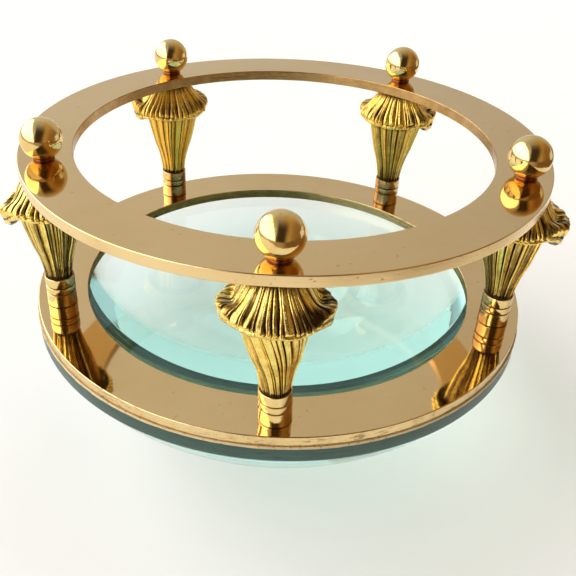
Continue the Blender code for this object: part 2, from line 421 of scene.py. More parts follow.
def ring_edge_brass():
    """The turned walls of the plates: tool marks run round them, the bore has stain and painted
    shade.
    """
    s = Shading("ring_edge_brass")
    radius, turn, height = s.polar()
    lane = s.add("CombineXYZ", {"X": s.math("MULTIPLY", turn, WALL_ROUND),
                                "Y": s.math("MULTIPLY", height, WALL_LINES), "Z": radius})
    lines = s.noise(1.0, 3.0, lane.outputs["Vector"])
    cloud = s.noise(70.0, 4.0)
    stains = s.noise(420.0, 4.0, rough=0.65)
    pits = s.remap(s.noise(1500.0, 2.0), 0.67, 0.74)
    # 1 on the lower ring, 0 on the upper: both share this material.
    lower = s.remap(height, 50.0 * MM, 40.0 * MM)
    drag = s.add("CombineXYZ", {"X": s.math("MULTIPLY", turn, SCUFF_ROUND),
                                "Y": s.math("MULTIPLY", height, SCUFF_LINES), "Z": 0.0})
    scuffs = s.remap(s.noise(1.0, 5.0, drag.outputs["Vector"], 0.7), 0.51, 0.59)
    scuffs = s.math("MULTIPLY", scuffs, s.remap(s.noise(160.0, 3.0), 0.38, 0.62, 0.15, 1.0))
    scuffs = s.math("MULTIPLY", scuffs, lower)
    colour = s.blend(s.remap(cloud, 0.35, 0.68), EDGE_GOLD, EDGE_WARM)
    colour = s.blend(s.math("MULTIPLY", pits, 0.5), colour, TARNISH)
    colour = s.blend(s.math("MULTIPLY", scuffs, 0.80), colour, EDGE_SCUFF)
    # The bore's wall has stain and painted shade, less of it on the right of the lower ring:
    # painted light there.
    bore = s.remap(radius, 46.0 * MM, 44.0 * MM)
    bore_stain_and_shade = s.math("MULTIPLY", bore, s.remap(stains, 0.30, 0.62, 0.62, 0.92))
    east = s.remap(s.math("ABSOLUTE", turn), 0.24, 0.16)
    lit_right = s.math("MULTIPLY", east, s.math("MULTIPLY", lower, 0.75))
    bore_stain_and_shade = s.math("MULTIPLY", bore_stain_and_shade, s.math("SUBTRACT", 1.0, lit_right))
    colour = s.blend(bore_stain_and_shade, colour, BORE_STAIN_AND_SHADE)
    gloss = s.remap(lines, 0.25, 0.75, 0.15, 0.27)
    gloss = s.math("ADD", gloss, s.math("MULTIPLY", bore, 0.08))
    normal = s.bump(lines, 0.005 * MM)
    normal = s.bump(pits, -0.010 * MM, normal)
    normal = s.bump(scuffs, -0.012 * MM, normal)
    return s.finish(Base_Color=colour, Metallic=1.0, Roughness=gloss, Normal=normal)


def cast_brass():
    """Hand-finished casting: bright crests, olive tarnish, patina in the grooves, painted shade.
    """
    s = Shading("cast_brass")
    # The groove attribute holds patina in the hollows and also painted shade: near the upper ring,
    # under the brims, on the right sides and on the sides toward the lens.
    groove = s.field("groove")
    grain = s.noise(3000.0, 4.0, rough=0.65)
    mottle = s.noise(620.0, 4.0, rough=0.6, distortion=0.3)
    radius, _, height = s.polar()
    lane = s.add("CombineXYZ", {"X": s.math("MULTIPLY", s.field("sweep"), CHASED_ROUND),
                                "Y": s.math("MULTIPLY", height, CHASED_UP),
                                "Z": s.math("MULTIPLY", radius, CHASED_OUT)})
    chased = s.noise(1.0, 4.0, lane.outputs["Vector"], 0.7)
    lines = s.remap(s.math("ABSOLUTE", s.math("SUBTRACT", chased, 0.5)), 0.0, 0.045, 1.0, 0.0)
    uneven = s.math("MULTIPLY", s.math("SUBTRACT", mottle, 0.62), 0.55)
    stain_and_shade = s.math("ADD", groove, uneven)
    stain_and_shade = s.math("ADD", stain_and_shade, s.math("MULTIPLY", lines, 0.22))
    stain_and_shade = s.math("ADD", stain_and_shade, s.math("MULTIPLY", s.math("SUBTRACT", chased, 0.5), 0.7))
    colour = s.blend(s.remap(mottle, 0.38, 0.66), CAST_GOLD, CAST_WARM)
    matt = s.field("matt")
    colour = s.blend(s.remap(matt, 0.0, 0.24, 0.0, 0.85), colour, HONEY)
    specks = s.remap(grain, 0.54, 0.70)
    colour = s.blend(s.math("MULTIPLY", specks, 0.6), colour, TARNISH)
    colour = s.blend(s.remap(stain_and_shade, 0.22, 0.66, 0.0, 0.9, smooth=True), colour, OLIVE)
    dark_patina_and_shade = s.remap(stain_and_shade, 0.55, 1.0, smooth=True)
    colour = s.blend(dark_patina_and_shade, colour, PATINA)
    gloss = s.remap(grain, 0.3, 0.7, 0.09, 0.20)
    gloss = s.math("ADD", gloss, s.math("MULTIPLY", dark_patina_and_shade, 0.25))
    gloss = s.math("ADD", gloss, matt)
    normal = s.bump(grain, 0.026 * MM)
    normal = s.bump(chased, 0.060 * MM, normal)
    normal = s.bump(mottle, 0.070 * MM, normal)
    return s.finish(Base_Color=colour, Metallic=1.0, Roughness=gloss, Normal=normal)


def turned_brass():
    """Polished turned brass of the balls and the collars, slightly uneven from the buff."""
    s = Shading("turned_brass")
    _, turn, height = s.polar()
    lane = s.add("CombineXYZ", {"X": s.math("MULTIPLY", turn, BALL_ROUND),
                                "Y": s.math("MULTIPLY", height, BALL_LINES), "Z": 0.0})
    lines = s.noise(1.0, 2.0, lane.outputs["Vector"])
    cloud = s.noise(260.0, 3.0)
    specks = s.remap(s.noise(1500.0, 3.0), 0.64, 0.72)
    colour = s.blend(s.remap(cloud, 0.36, 0.66), TURNED_GOLD, TURNED_WARM)
    colour = s.blend(s.math("MULTIPLY", specks, 0.45), colour, TARNISH)
    # The groove attribute holds the dark grooves and the balls' necks, and on the collars painted
    # shade too.
    groove = s.field("groove")
    colour = s.blend(s.remap(groove, 0.1, 0.9), colour, NECK_RED)
    gloss = s.remap(cloud, 0.3, 0.7, 0.085, 0.16)
    gloss = s.math("ADD", gloss, s.math("MULTIPLY", groove, 0.2))
    dents = s.noise(700.0, 2.0)
    normal = s.bump(lines, 0.0016 * MM)
    normal = s.bump(dents, 0.020 * MM, normal)
    normal = s.bump(cloud, 0.100 * MM, normal)
    return s.finish(Base_Color=colour, Metallic=1.0, Roughness=gloss, Normal=normal)


def lens_glass():
    """Thick greenish crown glass, polished but for the fine-ground wall of its rim."""
    s = Shading("lens_glass")
    absorb = s.add("VolumeAbsorption", {"Color": GLASS_DEPTH, "Density": 11.0})
    s.set(s.output.inputs["Volume"], absorb.outputs["Volume"])
    s.finish(Base_Color=rgb(1.0, 1.0, 1.0), Transmission_Weight=1.0, IOR=GLASS_IOR,
             Roughness=0.0)
    radius, turn, height = s.polar()
    wall = s.math("GREATER_THAN", radius, LENS_RADIUS - 0.03 * MM)
    lane = s.add("CombineXYZ", {"X": s.math("MULTIPLY", turn, GRIND_ROUND),
                                "Y": s.math("MULTIPLY", height, GRIND_LINES), "Z": 0.0})
    grind = s.noise(1.0, 4.0, lane.outputs["Vector"], 0.6)
    tint = s.blend(s.remap(grind, 0.3, 0.7), GROUND_DARK, GROUND_PALE)
    ground = s.add("BsdfPrincipled", {"Base Color": tint, "Transmission Weight": 0.20,
                                      "IOR": GLASS_IOR,
                                      "Roughness": s.remap(grind, 0.3, 0.7, 0.25, 0.45)})
    surface = s.add("MixShader", {"Fac": wall})
    s.set(surface.inputs[1], s.shader.outputs["BSDF"])
    s.set(surface.inputs[2], ground.outputs["BSDF"])
    clear = s.add("BsdfTransparent", {"Color": GLASS_SHADOW})
    lamp = s.add("LightPath").outputs["Is Shadow Ray"]
    mix = s.add("MixShader", {"Fac": lamp})
    s.set(mix.inputs[1], surface.outputs["Shader"])
    s.set(mix.inputs[2], clear.outputs["BSDF"])
    s.set(s.output.inputs["Surface"], mix.outputs["Shader"])
    return s.material


def cement():
    """Cured cement: a cream film with bubbles and dark specks."""
    s = Shading("cement")
    lump = s.noise(700.0, 4.0, rough=0.6)
    bubble = s.add("TexVoronoi", {"Vector": s.coords(), "Scale": 1400.0}).outputs["Distance"]
    pit = s.remap(bubble, 0.10, 0.28, 1.0, 0.0)
    colour = s.blend(lump, CEMENT_CREAM, CEMENT_TAN)
    colour = s.blend(s.math("MULTIPLY", pit, 0.8), colour, CEMENT_PIT)
    normal = s.bump(lump, 0.08 * MM)
    normal = s.bump(pit, -0.05 * MM, normal)
    gloss = s.remap(lump, 0.3, 0.7, 0.28, 0.5)
    return s.finish(Base_Color=colour, Roughness=gloss, Normal=normal)


def screw_steel():
    """Plain bright steel with rolled-thread lines and a little oil in the roots."""
    s = Shading("screw_steel")
    groove = s.field("groove")
    cloud = s.noise(900.0, 3.0)
    colour = s.blend(cloud, STEEL_PALE, STEEL_GREY)
    colour = s.blend(s.math("MULTIPLY", groove, 0.7), colour, STEEL_OIL)
    gloss = s.remap(cloud, 0.3, 0.7, 0.22, 0.38)
    normal = s.bump(s.noise(3500.0, 3.0), 0.006 * MM)
    return s.finish(Base_Color=colour, Metallic=1.0, Roughness=gloss, Normal=normal)


# ---------------------------------------------------------------- rings
def ring_outline(low, high):
    c = RING_CHAMFER
    points = arc((RING_OUTER - c, low + c), c, -90.0, 0.0, 4)
    points += arc((RING_OUTER - c, high - c), c, 0.0, 90.0, 4)
    points += arc((RING_INNER + c, high - c), c, 90.0, 180.0, 4)
    points += arc((RING_INNER + c, low + c), c, 180.0, 270.0, 4)
    return held(points)


def wall_slot(mesh):
    """Gives all but the flat faces, so the walls and broken edges, the second material."""
    for face in mesh.polygons:
        face.material_index = 0 if abs(face.normal.z) > 0.97 else 1


def make_ring(name, node, low, high, finish, plug_outline):
    """A flat washer with one hole, turned from plug_outline, at every column."""
    mesh = turned(name, ring_outline(low, high), 360)
    obj = piece(name, mesh, finish, "stand", node)
    plugs = []
    for number in COLUMNS:
        place, _ = axis_of(number)
        plugs.append(tool("plug", turned("plug", plug_outline, 40, solid=True), place))
    carve(obj, plugs)
    crisp(obj.data, 30.0)
    wall_slot(obj.data)
    return obj


def make_rings(face, edge):
    over = 1.0 * MM
    plug = [(CLEARANCE, RING_LOW.z - over), (CLEARANCE, RING_HIGH.z + over)]
    make_ring("upper_ring_plate", "top_ring", RING_LOW.z, RING_HIGH.z, (face, edge), plug)
    low, high = LOWER_LOW.z, LOWER_HIGH.z
    sink, sink_wall = 3.15 * MM, low + 0.2 * MM
    cone = sink_wall + (sink - CLEARANCE)
    plug = [(sink, low - over), (sink, sink_wall), (CLEARANCE, cone), (CLEARANCE, high + over)]
    make_ring("lower_ring_plate", "lens_ring", low, high, (face, edge), plug)


# ---------------------------------------------------------------- lens and its cement
def make_lens(glass):
    """Flat side up, dome down, with ground edges and a small flat at the crown."""
    centre = LENS_LOW.z + math.sqrt(DOME_RADIUS ** 2 - CROWN_FLAT ** 2)
    start = math.asin(CROWN_FLAT / DOME_RADIUS)
    end = math.asin(LENS_RADIUS / DOME_RADIUS)
    outline = [(CENTRE, LENS_LOW.z), (CROWN_FLAT * 0.6, LENS_LOW.z)]
    rows = 140
    for row in range(rows + 1):
        a = start + (end - start) * row / rows
        outline.append((DOME_RADIUS * math.sin(a), centre - DOME_RADIUS * math.cos(a)))
    grind = 0.15 * MM
    outline[-1] = (LENS_RADIUS - 0.06 * MM, outline[-1][1] - 0.09 * MM)
    outline.append((LENS_RADIUS, outline[-1][1] + 0.16 * MM))
    top = LENS_HIGH.z
    outline.append((LENS_RADIUS, top - grind - 0.05 * MM))
    outline += arc((LENS_RADIUS - grind, top - grind), grind, 0.0, 90.0, 3)
    outline += [(LENS_RADIUS - grind - 0.1 * MM, top), (CENTRE, top)]
    mesh = turned("magnifier_lens", outline, 480, solid=True, degrees=28.0)
    return piece("magnifier_lens", mesh, glass, "stand", "lens")


def make_cement(finish):
    """The film under the lower ring, squeezed out unevenly in a bead along the outer joint."""
    low, high = LENS_HIGH.z, LOWER_LOW.z
    steps = 900
    angles = round_angles(steps)
    squeeze = ripple(11, angles, range(5, 140, 3), 0.45)
    squeeze = np.clip(squeeze * 2.4 + 0.35, -0.6, 1.0)
    inner = CEMENT_INNER + 0.35 * MM * ripple(12, angles, range(3, 60, 2), 0.5)
    outer = LENS_RADIUS + (0.03 + 0.07 * squeeze) * MM
    bead = (0.10 + 0.05 * squeeze) * MM
    rows = []
    for radius, height in (
        (inner, low + 0.02 * MM), (LENS_RADIUS - 0.24 * MM, low + 0.01 * MM),
        (LENS_RADIUS - 0.10 * MM, low - 0.04 * MM), (outer, low - bead * 0.6),
        (outer + 0.03 * MM, (low + high) / 2), (outer, high + bead),
        (LENS_RADIUS - 0.06 * MM, high + bead * 0.9), (LENS_RADIUS - 0.24 * MM, high - 0.01 * MM),
        (inner, high - 0.01 * MM),
    ):
        rows.append(np.stack([radius * np.cos(angles), radius * np.sin(angles),
                              height + np.zeros(steps)], -1))
    mesh = grid("cement_film", np.array(rows), loop=True)
    crisp(mesh, 50.0)
    piece("cement_film", mesh, finish, "stand", "lens_adhesive")


# ---------------------------------------------------------------- columns
# One value for each column: how far the flutes turn on their way down, the range of the ribs'
# dirt, the painted shade on the side toward the lens, and how much duller the casting was
# polished.
SHAFT_TWIST = (0.46, -0.10, 0.12, 0.05, 0.15)
SHAFT_TONE = ((0.0, 0.50), (0.10, 0.85), (0.28, 0.52), (0.0, 0.24), (0.0, 0.65))
INNER_SHADE = (0.40, 0.40, 0.12, 0.0, 0.40)
MATT = (0.0, 0.04, 0.20, 0.24, 0.0)
RIB_SEED, FACET_SEED, PLEAT_SEED, BRIM_SEED = 40, 60, 80, 120
RIBS = 27
RIB_STEPS = 14
PLEATS = 46
PLEAT_STEPS = 12
CAPITAL_TOP = 3.7            # radius in mm at which the pleats start
CAPITAL_REACH = 4.9          # how much farther out the brim goes, in mm
# The two drawn-out lobes of each capital's brim, left and right: sag and extra thickness in mm.
LOBES = (((0.8, 1.1), (0.8, 1.1)), ((0.3, 0.4), (0.9, 2.4)), ((0.1, 0.1), (0.3, 1.6)),
         ((0.2, 1.8), (0.0, 0.2)), ((1.7, 1.6), (0.2, 0.5)))
LOBE_TURN = (0.0, 0.32, 0.15, -0.15, -0.32)      # how far round they stand from due left and right
# Each column was screwed up a little out of true: sideways shift of its foot and its head.
OUT_OF_TRUE = ((0.50, -0.36), (0.0, 0.0), (0.0, 0.0), (-0.30, -0.25), (0.0, 0.0))


def rib_table(seed, count, spread):
    """Start and width in radians of uneven ribs that fill the circle."""
    draw = np.random.default_rng(seed)
    widths = 1.0 + draw.uniform(-spread, spread, count)
    widths *= TAU / widths.sum()
    starts = np.concatenate([[0.0], np.cumsum(widths)[:-1]])
    return starts, widths


def rib_angles(starts, widths, steps):
    """Angles closer together at the ends of each rib, with each one's place across it."""
    across = 0.5 - 0.5 * np.cos(np.pi * np.arange(steps) / steps)
    angles = (starts[:, None] + widths[:, None] * across).ravel()
    return angles, np.tile(across, len(starts))


def smooth_step(value, start, end):
    t = np.clip((value - start) / (end - start), 0.0, 1.0)
    return t * t * (3.0 - 2.0 * t)


def bump_at(value, middle, width):
    return np.exp(-((value - middle) / width) ** 2)


def lean(rows, number):
    """Shifts rows sideways by how far the column stands out of true at their height."""
    foot, head = OUT_OF_TRUE[number - 1]
    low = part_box("foot_ferrule_%d" % number)[0].z
    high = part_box("capital_%d" % number)[1].z
    share = (rows[..., 2] - low) / (high - low)
    rows[..., 0] += (foot + (head - foot) * share) * MM
    return rows


def make_shaft(number, finish):
    """Fluted torch shaft: ribs with faces that tilt unevenly, sharp arrises, narrow grooves."""
    place, azimuth = axis_of(number)
    low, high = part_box("fluted_shaft_%d" % number)
    tall = high.z - low.z
    starts, widths = rib_table(RIB_SEED + number, RIBS, 0.60)
    angles, across = rib_angles(starts, widths, RIB_STEPS)
    rib_of = np.repeat(np.arange(RIBS), RIB_STEPS)
    draw = np.random.default_rng(FACET_SEED + number)
    twist = SHAFT_TWIST[number - 1]
    tilt = draw.uniform(-0.42, 0.42, RIBS)[rib_of]
    bow = draw.uniform(-0.34, 0.22, RIBS)[rib_of]
    crease = draw.uniform(0.35, 0.75, RIBS)[rib_of]
    creased = (draw.uniform(0.0, 1.0, RIBS) < 0.55)[rib_of] * 1.0
    tone = draw.uniform(*SHAFT_TONE[number - 1], RIBS)[rib_of]
    outline = smooth_through([(2.74, 0.0), (2.92, 0.10), (3.27, 0.23), (3.76, 0.36),
                              (4.46, 0.50), (5.20, 0.70), (5.75, 0.86), (6.15, 1.0)], 9)
    groove = bump_at(across, 0.0, 0.13) + bump_at(across, 1.0, 0.07)
    arris = bump_at(across, 0.17, 0.06)
    cut = bump_at(across, crease, 0.05) * creased
    depth = 0.60 if number in BACK_COLUMNS else 1.0
    face = tilt * (across - 0.5) + bow * (1.0 - (2.0 * across - 1.0) ** 2)
    # Painted shade on the side toward the lens, which dims the lens mirrored there.
    inward_shade = smooth_step(-np.cos(angles + twist - azimuth), 0.2, 0.9) * INNER_SHADE[number - 1]
    rows, patina_and_shade_rows = [], []
    for radius, t in outline:
        size = 0.42 + 0.52 * t
        relief = size * (face - 0.60 * groove + 0.26 * arris - 0.16 * cut) - 0.18
        wobble = 0.05 * np.sin(3.0 * angles + 5.0 * t + number)
        r = (radius + relief + wobble) * MM
        turn = angles + twist * (1.0 - t) + 0.05 * math.sin(3.0 * t + number)
        rows.append(np.stack([r * np.cos(turn), r * np.sin(turn),
                              np.full(len(angles), low.z + tall * t)], -1))
        foot_dirt = 1.1 * max(0.0, 1.0 - t / 0.05) + 0.35 * max(0.0, 1.0 - t / 0.3)
        # Painted shade at the top of the shaft, under the capital's brim.
        head_shade = 0.8 * max(0.0, (t - 0.9) / 0.1)
        shade = tone + inward_shade + depth * (0.85 * groove + 0.45 * cut) - 1.10 * arris
        patina_and_shade_rows.append(np.clip(shade + foot_dirt + head_shade, 0.0, 1.0))
    skirt = rows[0].copy()
    skirt[:, :2] *= 1.04
    skirt[:, 2] -= 0.10 * MM
    rows = [lean(row, number) for row in [skirt] + rows]
    foot, inner_low, inner_high = turned_rows(
        [(2.35 * MM, low.z), (SHAFT_BORE, low.z), (SHAFT_BORE, high.z)], angles)
    rows += [inner_high, inner_low, foot]
    dark = np.ones(len(angles))
    patina_and_shade_rows = [dark] + patina_and_shade_rows + [dark, dark, dark]
    mesh = grid("torch_shaft_%d" % number, np.array(rows), loop=True)
    paint(mesh, "groove", np.concatenate(patina_and_shade_rows))
    paint(mesh, "sweep", np.tile(angles, len(patina_and_shade_rows)))
    paint(mesh, "matt", np.full(len(mesh.vertices), MATT[number - 1]))
    crisp(mesh, 60.0)
    piece("torch_shaft_%d" % number, mesh, finish, "stand", "fluted_shaft_%d" % number,
          place)


def make_capital(number, finish):
    """Ruffled cap like a mushroom's brim: uneven pleats that end in beads over a rolled rim."""
    place, azimuth = axis_of(number)
    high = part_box("capital_%d" % number)[1]
    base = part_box("fluted_shaft_%d" % number)[1].z + 0.1 * MM
    tall = (high.z - base) / MM
    starts, widths = rib_table(PLEAT_SEED + number, PLEATS, 0.50)
    angles, across = rib_angles(starts, widths, PLEAT_STEPS)
    crest = np.sin(np.pi * across) ** 0.65
    outline = smooth_through([
        (CAPITAL_TOP, tall), (4.2, tall - 0.40), (5.10, tall - 1.5), (6.10, tall - 2.60),
        (7.25, tall - 3.65), (8.15, tall - 4.45), (8.60, tall - 5.05), (8.66, 1.10),
        (8.46, 0.66), (8.02, 0.52), (8.16, 0.30), (8.18, 0.0), (7.95, -0.30), (7.45, -0.26),
        (7.0, 0.10), (6.4, 0.30)], 6)
    # Shares of the outline at which the pleats end, the rim tucks in and its underside starts.
    ends_at, tuck_at, under_at = 7 / 15, 9 / 15, 12.3 / 15
    draw = np.random.default_rng(BRIM_SEED + number)

    def per_pleat(low_value, high_value):
        return np.repeat(draw.uniform(low_value, high_value, PLEATS), PLEAT_STEPS)

    facing = np.cos(angles - azimuth)
    open_side = smooth_step(facing, -0.75, 0.0)
    east = np.cos(angles + LOBE_TURN[number - 1])
    lobe = np.abs(east) ** 9 * open_side
    left, right = lobe * (east < 0.0), lobe * (east > 0.0)
    (left_sag, left_swell), (right_sag, right_swell) = LOBES[number - 1]
    sag = left * left_sag + right * right_sag
    swell = left * left_swell + right * right_swell
    beside_lobe = np.cos(angles + LOBE_TURN[number - 1] - math.pi + 0.95)
    pinch = (2.4 if number == 5 else 0.0) * smooth_step(beside_lobe, 0.45, 0.95)
    # Painted shade on the right side of the brim, stronger on column 1.
    east_shade = (0.40 if number == 1 else 0.18) * smooth_step(east, -0.2, 0.7)
    grooved = 0.55 if number in BACK_COLUMNS else 0.85
    wave = 0.34 * np.cos(5.0 * angles + 2.1 * number) + 0.26 * np.cos(3.0 * angles + 0.9 * number)
    wave = wave * open_side
    each, girth, tilt = per_pleat(-0.6, 0.6) * crest, per_pleat(0.55, 1.3), per_pleat(-0.5, 0.5)
    bend, length, tone = per_pleat(-0.09, 0.09), per_pleat(-1.0, 1.0), per_pleat(0.0, 1.0)
    split = (per_pleat(0.0, 1.0) < 0.4) * bump_at(across, per_pleat(0.4, 0.7), 0.09)
    rows, patina_and_shade_rows = [], []
    for index, (radius, height) in enumerate(outline):
        share = index / (len(outline) - 1)
        run = min(1.0, max(0.0, (radius - CAPITAL_TOP) / CAPITAL_REACH))
        tucked, under = share > tuck_at - 0.01, share > under_at
        end = bump_at(share, ends_at + 0.04, 0.075)
        depth = (0.12 + 0.50 * run) * girth * (0.22 if tucked else 1.0)
        dip = depth * (1.0 - crest) + 0.30 * depth * split - 0.35 * tilt * run * (across - 0.5)
        low_rim = smooth_step(share, ends_at, tuck_at + 0.06)
        curl = (0.60 * lobe + 0.32 * wave - 0.45 * (1.0 - open_side)) * run ** 3
        curl = curl - pinch * run + 0.35 * lobe * bump_at(share, tuck_at, 0.05)
        bead = (0.20 * (1.0 - lobe) + 0.16 * length) * crest * end
        r = (radius - dip + curl + 0.16 * each * run ** 2 + bead) * MM
        rise = 0.80 * wave * run ** 2.5 + 0.16 * each * run - 0.30 * length * crest * end
        rise = rise - lobe * (1.35 * bump_at(run, 0.60, 0.22) - 0.30 * run ** 6)
        rise = rise - sag * run - (0.45 * lobe + 0.45 * swell) * low_rim
        rise = rise + 0.40 * swell * bump_at(run, 1.0, 0.22) * (1.0 - low_rim)
        if tucked:
            rise = rise + 0.07 * length
        z = np.minimum(base + (height + rise) * MM, high.z)
        turn = angles + bend * run * (1.0 - run) * 2.0
        rows.append(np.stack([r * np.cos(turn), r * np.sin(turn), z], -1))
        # Painted shade: dark near the upper ring, and the right side darker lower down.
        shade = (1.0 - crest) * grooved + 0.35 * split + 0.90 * max(0.0, 1.0 - run / 0.32)
        shade = shade + (0.50 * tone + east_shade) * smooth_step(run, 0.45, 0.85)
        shade = shade + 0.06 - 0.95 * end * crest
        if tucked:
            shade = 0.05 + 0.35 * tone
        shade = shade + 0.85 * bump_at(share, tuck_at, 0.020)
        # Painted shade under the brim.
        if under:
            shade = np.full(len(angles), 0.95)
        patina_and_shade_rows.append(np.clip(shade, 0.0, 1.0))
    rows = [lean(row, number) for row in rows]
    rows += list(turned_rows([(CLEARANCE, base), (CLEARANCE, high.z)], angles))
    patina_and_shade_rows += [np.ones(len(angles))] * 2
    mesh = grid("torch_capital_%d" % number, np.array(rows), loop=True)
    paint(mesh, "groove", np.concatenate(patina_and_shade_rows))
    paint(mesh, "sweep", np.tile(angles, len(patina_and_shade_rows)))
    paint(mesh, "matt", np.full(len(mesh.vertices), 0.7 * MATT[number - 1]))
    crisp(mesh, 65.0)
    piece("torch_capital_%d" % number, mesh, finish, "stand", "capital_%d" % number,
          place)


def make_collar(number, finish):
    """Turned collar: three bands parted by two narrow grooves, painted shade on its sheltered
    sides.
    """
    place, azimuth = axis_of(number)
    low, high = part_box("foot_ferrule_%d" % number)
    foot, tall, r = low.z, high.z - low.z, COLLAR_RADIUS
    deep, belly, corner = 0.24 * MM, 0.05 * MM, 0.14 * MM

    def groove(z):
        return [(r, z - 0.17 * MM), (r - 0.05 * MM, z - 0.13 * MM), (r - deep, z - 0.05 * MM),
                (r - deep, z + 0.05 * MM), (r - 0.05 * MM, z + 0.13 * MM), (r, z + 0.17 * MM)]

    outline = [(CLEARANCE, foot), (r - 0.02 * MM, foot), (r + 0.05 * MM, foot + 0.06 * MM),
               (r + 0.06 * MM, foot + 0.22 * MM), (r + 0.02 * MM, foot + 0.38 * MM)]
    outline += groove(foot + tall - 3.55 * MM)
    outline += [(r + belly, foot + tall - 2.95 * MM), (r + belly, foot + tall - 2.65 * MM)]
    outline += groove(foot + tall - 2.05 * MM)
    outline += [(r + belly, foot + tall - 1.35 * MM), (r + belly, foot + tall - 0.7 * MM)]
    outline += arc((r - corner, foot + tall - corner), corner, 0.0, 90.0, 4)
    outline += [(CLEARANCE, foot + tall)]
    angles = round_angles(72)
    rows = turned_rows(outline, angles)
    rows[1:-1] = lean(rows[1:-1], number)
    line = np.array(outline)
    outside = line[:, 0] > 2.0 * MM
    dark = np.clip((r - line[:, 0]) / deep, 0.0, 1.0) * outside
    # Painted shade on the side toward the lens and on the right side.
    shaded_sides = 0.66 * smooth_step(-np.cos(angles - azimuth), 0.0, 0.8)
    shaded_sides = np.maximum(shaded_sides, 0.42 * smooth_step(np.cos(angles), 0.1, 0.7))
    mesh = grid("collar_%d" % number, rows, loop=True)
    paint(mesh, "groove", np.maximum(dark[:, None], shaded_sides[None, :]).ravel())
    crisp(mesh, 38.0)
    piece("collar_%d" % number, mesh, finish, "stand", "foot_ferrule_%d" % number,
          place)


def make_ball(number, finish):
    """Ball with a short neck, a blind bore and a slight flat round its waist from the lathe."""
    place, _ = axis_of(number)
    low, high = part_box("ball_finial_%d" % number)
    radius, neck = BALL_RADIUS, BALL_NECK
    centre = high.z - radius
    start = math.asin(neck / radius)
    seat = RING_HIGH.z + 0.01 * MM
    outline = [(BALL_BORE, seat), (neck + 0.16 * MM, seat), (neck + 0.14 * MM, seat + 0.08 * MM),
               (neck + 0.02 * MM, low.z + 0.22 * MM)]
    rows = 44
    for row in range(1, rows):
        a = start + (math.pi - start) * row / rows
        waist = 1.0 - 0.012 * (1.0 + math.cos(2.0 * a))
        outline.append((radius * math.sin(a) * waist, centre - radius * math.cos(a)))
    outline.append((CENTRE, high.z))
    bore_top = low.z + 4.7 * MM
    outline = [(CENTRE, bore_top), (BALL_BORE, bore_top)] + outline
    steps = 96
    mesh = grid("ball_%d" % number, turned_rows(outline, round_angles(steps)), loop=False,
                solid_ends=True)
    crisp(mesh, 40.0)
    heights = np.array(outline)[:, 1]
    dark = 0.75 * (1.0 - smooth_step(heights, seat + 0.15 * MM, seat + 0.60 * MM))
    dark += 0.25 * (1.0 - smooth_step(heights, seat + 0.60 * MM, seat + 2.2 * MM))
    paint(mesh, "groove", np.repeat(dark, steps))
    piece("ball_%d" % number, mesh, finish, "ball_%d" % number, "ball_finial_%d" % number,
          place, 0.7 * number)


def threaded_rows(z0, z1, steps):
    """Rows of a right-hand thread, with how deep each vertex lies in it."""
    rows_per_pitch = 8
    taper = 0.4 * MM
    count = max(2, int(round((z1 - z0) / THREAD_PITCH * rows_per_pitch)))
    heights = np.linspace(z0, z1, count + 1)
    angles = round_angles(steps)
    phase = (heights[:, None] / THREAD_PITCH - angles[None, :] / TAU) % 1.0
    depth = np.abs(2.0 * phase - 1.0)
    depth = np.clip((depth - 0.12) / 0.80, 0.0, 1.0)
    ends = np.minimum(heights - z0, z1 - heights)[:, None]
    limit = SCREW_RADIUS - np.clip(taper - ends, 0.0, taper)
    r = np.minimum(SCREW_RADIUS - THREAD_DEPTH * depth, limit)
    rows = np.stack([r * np.cos(angles), r * np.sin(angles),
                     np.repeat(heights[:, None], steps, axis=1)], -1)
    return rows, depth


def make_stud(number, finish):
    """Stud fixed in a ball, threaded from end to end."""
    place, _ = axis_of(number)
    low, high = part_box("finial_stud_%d" % number)
    rows, depth = threaded_rows(low.z, high.z, 28)
    mesh = grid("stud_%d" % number, rows, loop=False, solid_ends=True)
    paint(mesh, "groove", depth.ravel())
    crisp(mesh, 70.0)
    piece("stud_%d" % number, mesh, finish, "stud_%d" % number, "finial_stud_%d" % number,
          place)


def make_foot_screw(number, finish):
    """Countersunk screw with a cross recess, its head down in the lower ring."""
    place, azimuth = axis_of(number)
    low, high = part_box("foot_screw_%d" % number)
    steps = 36
    outline = [(0.3 * MM, low.z), (SCREW_HEAD - 0.05 * MM, low.z),
               (SCREW_HEAD, low.z + 0.05 * MM), (SCREW_HEAD, low.z + 0.15 * MM),
               (SCREW_RADIUS, low.z + 1.45 * MM)]
    head = turned_rows(outline, round_angles(steps))
    thread, _ = threaded_rows(low.z + 1.6 * MM, high.z, steps)
    mesh = grid("foot_screw_body_%d" % number, np.concatenate([head, thread]), loop=False,
                solid_ends=True)
    crisp(mesh, 50.0)
    obj = piece("countersunk_screw_%d" % number, mesh, finish, "stand",
                "foot_screw_%d" % number, place, azimuth)
    recess = []
    for quarter in range(2):
        work = bmesh.new()
        bmesh.ops.create_cube(work, size=1.0)
        bmesh.ops.scale(work, verts=work.verts, vec=(3.0 * MM, 0.62 * MM, 1.7 * MM))
        for vert in work.verts:
            if vert.co.z > 0.0:
                vert.co.x *= 0.45
        blade = bpy.data.meshes.new("blade")
        work.to_mesh(blade)
        work.free()
        spot = (place.x, place.y, low.z)
        recess.append(tool("blade", blade, spot, azimuth + quarter * math.pi / 2))
    carve(obj, recess)
    crisp(obj.data, 40.0)
    verts = np.array([v.co for v in obj.data.vertices])
    inside = (SCREW_RADIUS - np.hypot(verts[:, 0], verts[:, 1])) / THREAD_DEPTH
    paint(obj.data, "groove", np.clip(inside, 0.0, 1.0) * 0.8)


